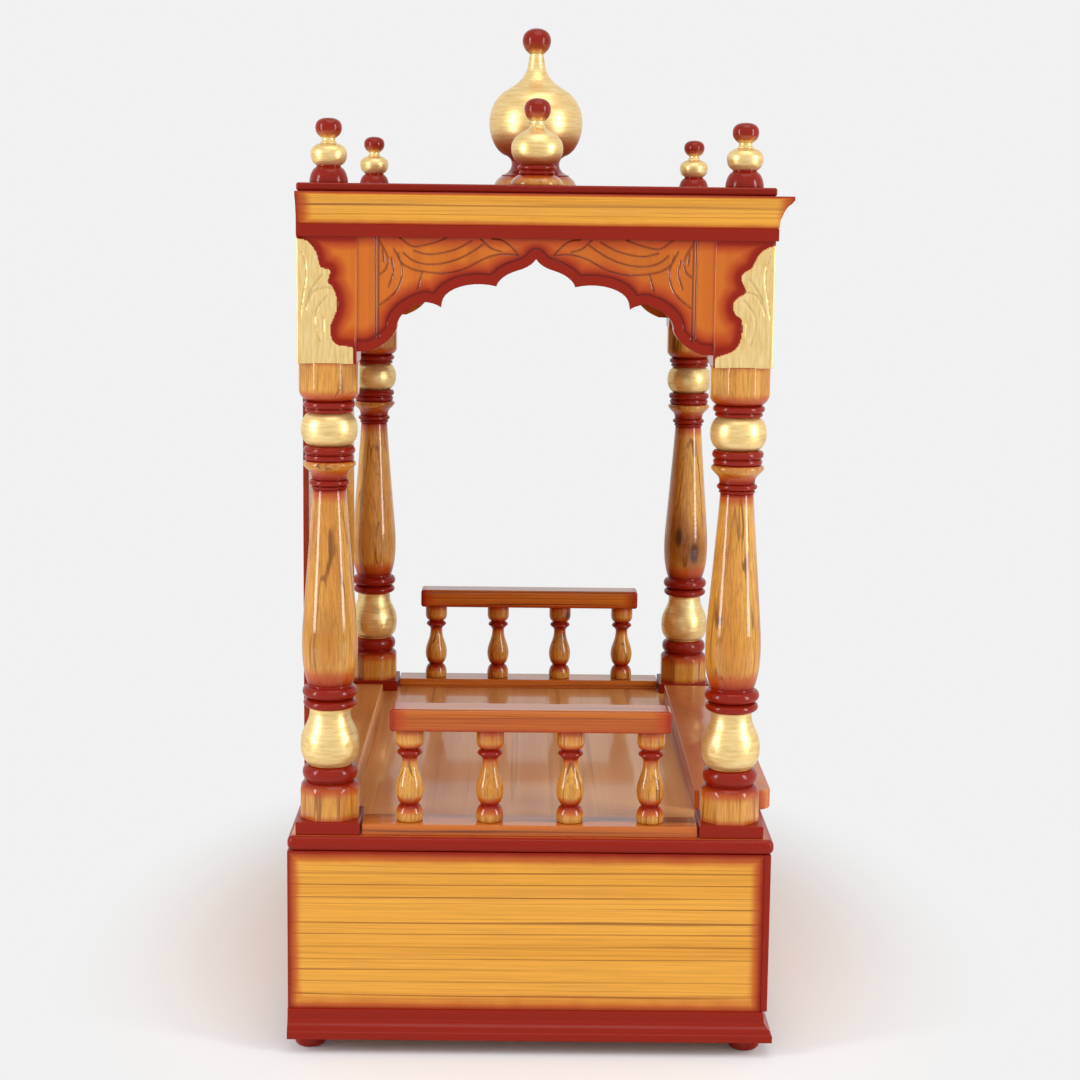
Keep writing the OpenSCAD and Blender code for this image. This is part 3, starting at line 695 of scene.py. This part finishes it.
def carved_block(node, side, end):
    """An eased post, 0.75 mm grid, sunk by up to 0.8 mm round its leaves and 0.5 mm in veins."""
    low, high = box_of(node)
    fine = {1: np.unique(np.append(lines(low[1], high[1], 1.0), np.arange(low[1] + 1, high[1], 0.75))),
            2: np.unique(np.append(lines(low[2], high[2], 1.0), np.arange(low[2] + 1, low[2] + 77, 0.8)))}
    if end == "front":
        fine[0] = np.unique(np.append(lines(low[0], high[0], 1.0),
                                      np.arange(low[0] + 1, high[0], 0.75)))
    points, quads, _ = board(low, high, 1.0, cuts=fine)
    outward = -1 if side == "left" else 1
    outer_x, outer_y = (low if side == "left" else high)[0], (low if end == "front" else high)[1]
    normal_side = np.abs(points[:, 0] - outer_x) < 1e-4
    normal_front = (np.abs(points[:, 1] - outer_y) < 1e-4) & (end == "front")
    flat_side = np.column_stack([np.abs(points[:, 1] - outer_y), points[:, 2] - low[2]])
    flat_front = np.column_stack([np.abs(points[:, 0] - outer_x), points[:, 2] - low[2]])
    sunk = points.copy()
    for mask, flat, axis, sign in ((normal_side, flat_side, 0, outward),
                                   (normal_front, flat_front, 1, -1)):
        if mask.any():
            edge, vein = leaf_numbers(flat[mask], LEAVES[end])
            rim = np.minimum(np.min([flat[mask][:, 0], 36 - flat[mask][:, 0]], axis=0) / 2, 1)
            depth = 0.8 * np.clip(edge / 0.7, 0, 1) * np.clip(1 - (edge - 2) / 9, 0, 1)
            depth += 0.5 * np.clip(1 - vein / 0.9, 0, 1) * (edge < 0)
            sunk[mask, axis] -= sign * depth * np.clip(rim, 0, 1)

    def paint(p):
        along_y, along_x = np.abs(p[:, 1] - outer_y), np.abs(p[:, 0] - outer_x)
        on_side = along_x < 1.4
        flat = np.column_stack([np.where(on_side, along_y, along_x), p[:, 2] - low[2]])
        edge, vein = leaf_numbers(flat, LEAVES[end])
        shown = on_side | ((along_y < 1.4) & (end == "front"))
        round_leaf = np.clip(1.18 - edge / 10.5, 0, 1)
        foot = np.clip(1.25 - (flat[:, 1] - 6) / 16, 0, 1) * np.clip((flat[:, 0] - 20) / 6, 0, 1)
        # The top 9 mm of the block, just under the cornice, gets deeper red: partly sprayed red at the
        # board's top edge, partly painted shadow of the cornice.
        under = np.clip(1 - (75 - flat[:, 1]) / 9, 0, 1)
        red = np.where(shown, np.max([round_leaf, foot, under], axis=0), 0.75)
        gold = np.where(shown, np.clip(0.5 - edge / 0.9, 0, 1), 0)
        red = np.where(gold > 0.5, 0, red)
        # cut darkens the leaf's veins in the material: painted shade in the carved grooves.
        return {"red": red, "gold": gold, "cut": 0.35 * np.clip(1 - vein / 0.8, 0, 1) * (gold > 0.5)}

    return make_piece(node + "_carved", [(sunk, quads)], block_wood, [node], paint)


for end in ("front", "back"):
    for side in ("left", "right"):
        carved_block("corner_block_" + end + "_" + side, side, end)
print("leaves carved on", [n for n, _ in PIECES if "corner_block" in n])

# %% [markdown]
# ## Arch boards
# Each arch is sawn from one board. A groove follows its edge, with dark red lacquer below it,
# and a long curled leaf fills the space above. The grid's columns are upright lines across the
# board, each from the top down to the arch, under it and up the back. So the sawn edge is exact.

# %% The arch's outline and the carved lines
def arc(p, q, r, count):
    """Points on the circle through three points, from p by way of q to r."""
    p, q, r = (np.array(v, float) for v in (p, q, r))
    system = 2 * np.array([q - p, r - p])
    centre = np.linalg.solve(system, [q @ q - p @ p, r @ r - p @ p])
    angles = np.unwrap([math.atan2(*(v - centre)[::-1]) for v in (p, q, r)])
    a = np.linspace(angles[0], angles[2], count + 1)
    radius = np.linalg.norm(p - centre)
    return centre + radius * np.column_stack([np.cos(a), np.sin(a)])


ARCH_HALF = np.concatenate([
    [[1, 0]], arc((0.935, 0.005), (0.846, 0.092), (0.776, 0.261), 10),
    arc((0.776, 0.261), (0.713, 0.453), (0.617, 0.533), 10),
    arc((0.617, 0.533), (0.561, 0.510), (0.514, 0.449), 6),
    arc((0.514, 0.449), (0.393, 0.714), (0.221, 0.707), 12),
    arc((0.221, 0.707), (0.178, 0.810), (0.103, 0.877), 6),
    arc((0.103, 0.877), (0.042, 0.924), (0, 1), 5)])
ARCH_FOOT, ARCH_RISE, SIDE_SPAN = 7.5, 56.3, 214.0
CARVED = [[(95.8, 507), (95.8, 447)], [(93.9, 507), (93.9, 446)],
          [(86.3, 494), (85.2, 486), (87.8, 477)],
          [(82.3, 497), (79.7, 486), (82.5, 476), (88, 470), (93.4, 466)],
          [(93.4, 504), (88.6, 495), (89.4, 488), (93.4, 484)], [(91.5, 499), (90.8, 492)],
          [(84.8, 499.5), (80.3, 491.5), (74, 487.6), (67.4, 486.2), (58, 485.3), (50.4, 485.9),
           (41.4, 488.6), (30.5, 494.4), (20.5, 497), (10.6, 496.4)],
          [(81.3, 506.5), (76, 502.2), (71.3, 501), (60.4, 503.7), (53.9, 506.5)],
          [(79, 497), (74, 493), (67.4, 490.8), (60.4, 490.6), (52, 492), (44.4, 494.8),
           (37, 499), (31.5, 503)],
          [(73, 498.5), (63.4, 496.4), (50.4, 498.8), (44, 501.5), (38.4, 505)],
          [(26, 506.4), (20.5, 505.6), (15.5, 502), (10.6, 496.7)],
          [(67.9, 486), (69.2, 481), (70.6, 476)], [(33, 506), (27, 500.5), (21, 498.6)]]


def arch_numbers(flat, span, foot_z):
    """For board points (across, z): distance to the sawn edge, to the border groove and to the
    nearest carved line. The board is mirrored, so across counts from its middle."""
    flat = np.column_stack([np.abs(flat[:, 0]), flat[:, 1]])
    outline = ARCH_HALF * [span / 2, ARCH_RISE] + [0, foot_z]
    edge = distance(flat, outline)
    stretch = [span / SIDE_SPAN, 1]
    carved = [distance(flat, smooth(path) * stretch) for path in CARVED]
    return edge, np.abs(edge - 6.2), np.min(carved, axis=0)


def arch_piece(name, span, thick, low_z, high_z, place, unplace, material):
    """One carved arch board. place turns (across, depth, z) into x, y, z."""
    foot_z = low_z + ARCH_FOOT
    half = ARCH_HALF[::-1] * [span / 2, ARCH_RISE] + [0, foot_z]
    half[:, 0] = np.maximum.accumulate(half[:, 0] + 1e-6 * np.arange(len(half)))
    across = np.unique(np.round(np.concatenate(
        [np.arange(0, span / 2, span / 400), half[:, 0], [span / 2]]), 4))
    across = np.unique(np.concatenate([-across, across]))
    edge_z = np.interp(np.abs(across), half[:, 0], half[:, 1])[:, None]
    seen = 507.5
    share = np.linspace(0, 1, 64)[None, :]
    rows = seen + share * (edge_z + 1.1 - seen)
    ease = np.array([0.8, 0.5, 0.25, 0.0])[None, :]
    front = np.concatenate([np.full_like(edge_z, high_z), rows, edge_z + ease], axis=1)
    flat = np.column_stack([np.repeat(across, front.shape[1]), front.ravel()])
    edge, groove, carved = (v.reshape(front.shape) for v in arch_numbers(flat, span, foot_z))
    depth = 0.6 * np.clip(1 - groove / 0.9, 0, 1) + 0.7 * np.clip(1 - carved / 0.9, 0, 1)
    depth += 0.8 * (1 - np.sqrt(np.clip(1 - (1 - np.clip(edge / 0.8, 0, 1)) ** 2, 0, 1)))
    depth[:, 0] = 0
    back_z = np.concatenate([edge_z, edge_z, edge_z + 0.6, np.full_like(edge_z, high_z)], axis=1)
    back_depth = np.broadcast_to([thick / 2, thick - 0.6, thick, thick], back_z.shape)
    z, deep = np.concatenate([front, back_z], axis=1), np.concatenate([depth, back_depth], axis=1)
    points = np.stack(place(np.broadcast_to(across[:, None], z.shape), deep, z), axis=-1)
    count, loop = z.shape
    caps = (np.arange(loop)[::-1], (count - 1) * loop + np.arange(loop))
    part = (points.reshape(-1, 3), grid_quads(count, loop, wrap=True), caps)

    def paint(p):
        a, deep, z = unplace(p)
        edge, groove, carved = arch_numbers(np.column_stack([a, z]), span, foot_z)
        shown = deep < 2.0
        border = np.clip(1.5 - edge / 11.0, 0, 1)
        # under deepens the red in the top 9 mm, just below the cornice: partly sprayed red at the board's
        # top, partly painted shade of the cornice.
        under = np.clip(1.0 - (506.5 - z) / 9, 0, 1)
        red = np.where(shown, np.maximum(border, 0.75 * under), np.where(deep > thick - 0.7, 0.3, 1))
        # line darkens the border groove and the carved lines through cut: painted shade in the grooves.
        line = np.clip(1 - np.minimum(groove, carved) / 0.9, 0, 1)
        return {"red": np.maximum(red, 0.12), "cut": np.where(shown, line, 0)}

    return make_piece(name + "_carved", [part], material, [name], paint, 50)


# %% The three arches
for sign, name in ((-1, "arch_left"), (1, "arch_right")):
    low, high = box_of(name)
    outer = low[0] if sign < 0 else high[0]
    middle_y = (low[1] + high[1]) / 2
    arch_piece(name, high[1] - low[1], high[0] - low[0], low[2] - ARCH_FOOT, high[2],
               lambda a, d, z: (outer - sign * d, middle_y + a, z),
               lambda p: (p[:, 1] - middle_y, np.abs(p[:, 0] - outer), p[:, 2]), block_wood)
low, high = box_of("arch_front")
arch_piece("arch_front", high[0] - low[0], high[1] - low[1], low[2] - ARCH_FOOT, high[2],
           lambda a, d, z: (a, low[1] + d, z),
           lambda p: (p[:, 0], p[:, 1] - low[1], p[:, 2]), block_wood)
print("arches", [(n, t) for n, t in PIECES if n.startswith("arch")])

# %% [markdown]
# ## Back board and roof board
# The back board is thin and pale inside, red at its edges. The roof board lies on the canopy,
# lacquered dark red, and only its edge shows as a line above the cornice.

# %% Back board and roof board
low, high = box_of("back_board")
notch, pad_top = np.array([2.0, 0, 0]), box_of("column_pads")[1, 2]
make_piece("back_board_panel", [
    board(low + notch, [high[0] - notch[0], high[1], pad_top + 1], 0.5),
    board([low[0], low[1], pad_top], high, 0.5)], front_wood, ["back_board"],
    lambda p: {"red": 0.8 * near_edges(p, low, high, (0,), 10)})
low, high = box_of("roof_board")
make_piece("roof_board_eased", [board(low, high, 1.5)], front_wood,
           ["roof_board"], lambda p: {"red": np.ones(len(p))})
print("roof top at", high[2].round(1), "mm")

# %% [markdown]
# ## Finials and domes
# Six small finials and one onion dome stand on the roof. Their bulbs are gilded, and their feet
# and knobs are lacquered red, with the red sprayed thinly where a knob meets its neck.

# %% Turned roof pieces
FINIAL = dense(np.concatenate([
    [[0, 0], [11.5, 0], [11.6, 0.8]], curve([11.6, 1.2], [11.2, 5], [9.8, 8], [8, 9.1], 7),
    [[7.3, 9.7], [7.3, 10.3]],
    curve([7.9, 10.7], [10.4, 12], [11, 14.8], [11, 17.4], 8),
    curve([11, 17.4], [11, 20.8], [8.2, 22.6], [4.8, 23.5], 8),
    curve([4.7, 24], [4, 24.6], [3.9, 25.4], [4, 26.3], 4),
    curve([4.2, 26.5], [6.5, 28], [8, 29.8], [8, 32.6], 7),
    curve([8, 32.6], [8, 36.8], [5, 38.5], [0, 38.5], 9)]), 0.9)
FINIAL_RED = [(0, 1), (10.4, 1), (10.6, 0), (26, 0.05), (28, 0.4), (31, 0.85), (33, 1), (39, 1)]
SIDE_DOME = dense(np.concatenate([
    [[0, 0], [15.6, 0]], curve([15.8, 0.5], [15.6, 2.8], [13.4, 5], [10.3, 6.1], 8),
    bead(9.6, 10.8, 6.2, 8.4, 5), bead(9.8, 11.6, 8.8, 12.1, 7),
    curve([10.2, 12.6], [14, 14], [15.6, 17.6], [15.6, 21.9], 9),
    curve([15.6, 21.9], [15.6, 27], [12, 30], [7, 32.5], 9),
    curve([7, 32.5], [4.6, 33.8], [3.9, 35.5], [3.9, 37.8], 6),
    curve([4.2, 38], [6.7, 39.6], [8, 42], [8, 45], 8),
    curve([8, 45], [8, 49.5], [4.5, 51.5], [0, 51.5], 9)]), 1.0)
SIDE_RED = [(0, 0.15), (3, 0.2), (5.4, 0.7), (6.2, 1), (12.3, 1), (12.5, 0.6), (15.5, 0.35),
            (21, 0.05), (24, 0), (37.7, 0), (39, 0.3), (42, 0.75), (45, 1), (52, 1)]
DOME = dense(np.concatenate([
    [[0, 0], [28.4, 0]], curve([28.8, 0.5], [28, 3], [26.4, 5.8], [23.4, 7.3], 8),
    curve([23.4, 8.0], [19.2, 9.2], [16.4, 12], [16.5, 15.6], 8),
    curve([16.7, 17.5], [17.2, 19], [18.4, 20.2], [19.4, 20.6], 5),
    curve([19.7, 21], [26, 22.6], [31.7, 31], [32.1, 43], 14),
    curve([32.1, 43], [32.1, 52], [28.5, 60], [21.9, 64.6], 12),
    curve([21.9, 64.6], [14, 69.5], [7.2, 73], [5.8, 83], 12),
    curve([5.8, 83], [5.3, 86], [4.9, 88], [4.8, 90], 4),
    curve([5, 90.2], [8.2, 92.5], [9.8, 95.6], [9.8, 99], 8),
    curve([9.8, 99], [9.8, 104.5], [5.5, 107.5], [0, 107.5], 10)]), 1.6)
DOME_RED = [(0, 0.2), (4, 0.25), (6.8, 0.7), (7.4, 1), (20.8, 1), (21, 0.75), (26, 0.5), (33, 0.28),
            (42, 0.06), (50, 0), (90, 0), (91.5, 0.3), (95, 0.7), (99, 1), (108, 1)]


def roof_piece(node, profile, red, gilt_from, turns):
    """Spins a roof piece on its CAD node's place. Gold starts at height gilt_from."""
    low, high = box_of(node)
    x, y = (low[:2] + high[:2]) / 2
    make_piece(node + "_turned", [turned(profile, x, y, low[2], turns)], turned_wood,
               [node],
               lambda p: {"red": zone(p[:, 2] - low[2], red),
                          "gold": (p[:, 2] - low[2] > gilt_from).astype(float)}, 42)


for end in ("front_left", "front_right", "back_left", "back_right"):
    roof_piece("finial_" + end, FINIAL, FINIAL_RED, 10.4, 64)
for side in ("left", "right"):
    roof_piece("side_dome_" + side, SIDE_DOME, SIDE_RED, 12.3, 72)
roof_piece("central_dome", DOME, DOME_RED, 20.8, 120)
print("pieces", len(PIECES), "triangles", sum(t for _, t in PIECES),
      "largest", max(PIECES, key=lambda piece: piece[1]))

# %% [markdown]
# ## Floor, light and camera
# The shrine stands on a pale floor in a bright studio. Two tall soft lamps, left and right of
# the view, put two highlights on every turned piece. The floor takes the shadow near the
# shrine and turns into the plain background further out, so there is no horizon.

# %% Floor and surroundings
BACKDROP = "#F1F1F1"


def floor_disc(radius, rings=24, turns=64):
    """A flat disc: (r cos t, r sin t, 0) for r from 0 to radius."""
    r, t = np.meshgrid(np.linspace(0, radius, rings), np.arange(turns) * 2 * math.pi / turns,
                       indexing="ij")
    points = np.stack([r * np.cos(t), r * np.sin(t), 0 * r], axis=-1).reshape(-1, 3)
    points, full, thin, _ = merge(points, grid_quads(rings, turns, wrap=True))
    mesh = bpy.data.meshes.new("studio_floor")
    mesh.from_pydata((points * MM).tolist(), [], full.tolist() + thin.tolist())
    return bpy.data.objects.new("studio_floor", mesh)


floor = floor_disc(2600.0)
bpy.context.collection.objects.link(floor)
paper = bpy.data.materials.new("matt_paper_floor")
paper.use_nodes = True
tree = paper.node_tree
tree.nodes.clear()
place = add(tree, "TexCoord", out="Object")
near = add(tree, "Mapping", {"Vector": place, "Scale": (0.65, 1.0, 1.0)})
far = add(tree, "VectorMath", {0: near}, out="Value", operation="LENGTH")
far = add(tree, "MapRange", {0: far, 1: 0.17, 2: 0.34}, **SMOOTH)
ray = add(tree, "LightPath", out="Is Camera Ray")
plain = add(tree, "Math", {0: far, 1: ray}, operation="MULTIPLY")
matt = add(tree, "BsdfDiffuse", {"Color": "#F0F0F0"})
glow = add(tree, "Emission", {"Color": BACKDROP, "Strength": 1.0})
surface = add(tree, "MixShader", {0: plain, 1: matt, 2: glow})
add(tree, "OutputMaterial", {"Surface": surface})
floor.data.materials.append(paper)

world = bpy.data.worlds.new("pale_studio")
world.use_nodes = True
tree = world.node_tree
tree.nodes.clear()
rays = tree.nodes.new("ShaderNodeLightPath").outputs
seen = add(tree, "Math", {0: rays["Is Camera Ray"], 1: rays["Is Glossy Ray"]}, operation="MAXIMUM")
seen = add(tree, "Math", {0: seen, 1: rays["Is Transmission Ray"]}, operation="MAXIMUM")
around = add(tree, "Background", {"Color": "#FFFFFF", "Strength": 0.5})
behind = add(tree, "Background", {"Color": BACKDROP, "Strength": 1.0})
tree_out = add(tree, "MixShader", {0: seen, 1: around, 2: behind})
tree.nodes.new("ShaderNodeOutputWorld")
tree.links.new(tree_out, tree.nodes[-1].inputs["Surface"])
bpy.context.scene.world = world

# %% Lamps and camera
LOOK_AT = np.array([0.0, 0.0, 0.33])


def soft_lamp(name, bearing, rise, reach, size, watts):
    """A rectangular lamp on a circle round the shrine, turned to face it. bearing is its angle
    from the camera's side, and rise its angle above the floor, both in degrees."""
    a, b = math.radians(180 + bearing), math.radians(rise)
    offset = reach * np.array([math.cos(a) * math.cos(b), math.sin(a) * math.cos(b), math.sin(b)])
    data = bpy.data.lights.new(name, "AREA")
    data.shape, data.size, data.size_y, data.energy = "RECTANGLE", size[0], size[1], watts
    lamp = bpy.data.objects.new(name, data)
    bpy.context.collection.objects.link(lamp)
    lamp.location = Vector((LOOK_AT + offset).tolist())
    lamp.rotation_euler = Vector((-offset).tolist()).to_track_quat("-Z", "Y").to_euler()
    return lamp


soft_lamp("left_softbox", -58, 12, 1.5, (0.3, 1.0), 12)
soft_lamp("right_softbox", 58, 12, 1.5, (0.3, 1.0), 12)
soft_lamp("top_softbox", 20, 72, 1.7, (1.2, 1.2), 9)

YAW, PITCH, ROLL = (math.radians(v) for v in (-0.497, -8.693, 0.6825))
forward = np.array([math.cos(PITCH) * math.cos(YAW), math.cos(PITCH) * math.sin(YAW),
                    math.sin(PITCH)])
right = np.array([math.sin(YAW), -math.cos(YAW), 0.0])
up = np.cross(right, forward)
rolled_right = right * math.cos(ROLL) + up * math.sin(ROLL)
rolled_up = up * math.cos(ROLL) - right * math.sin(ROLL)
matrix = np.eye(4)
matrix[:3, 0], matrix[:3, 1], matrix[:3, 2] = rolled_right, rolled_up, -forward
matrix[:3, 3] = (-1.5597, 0.0108, 0.5294)
lens = bpy.data.cameras.new("studio_camera")
lens.sensor_width, lens.lens = 36.0, 74.18
camera = bpy.data.objects.new("studio_camera", lens)
bpy.context.collection.objects.link(camera)
camera.matrix_world = Matrix(matrix.tolist())
bpy.context.scene.camera = camera
bpy.context.scene.view_settings.view_transform = "Standard"
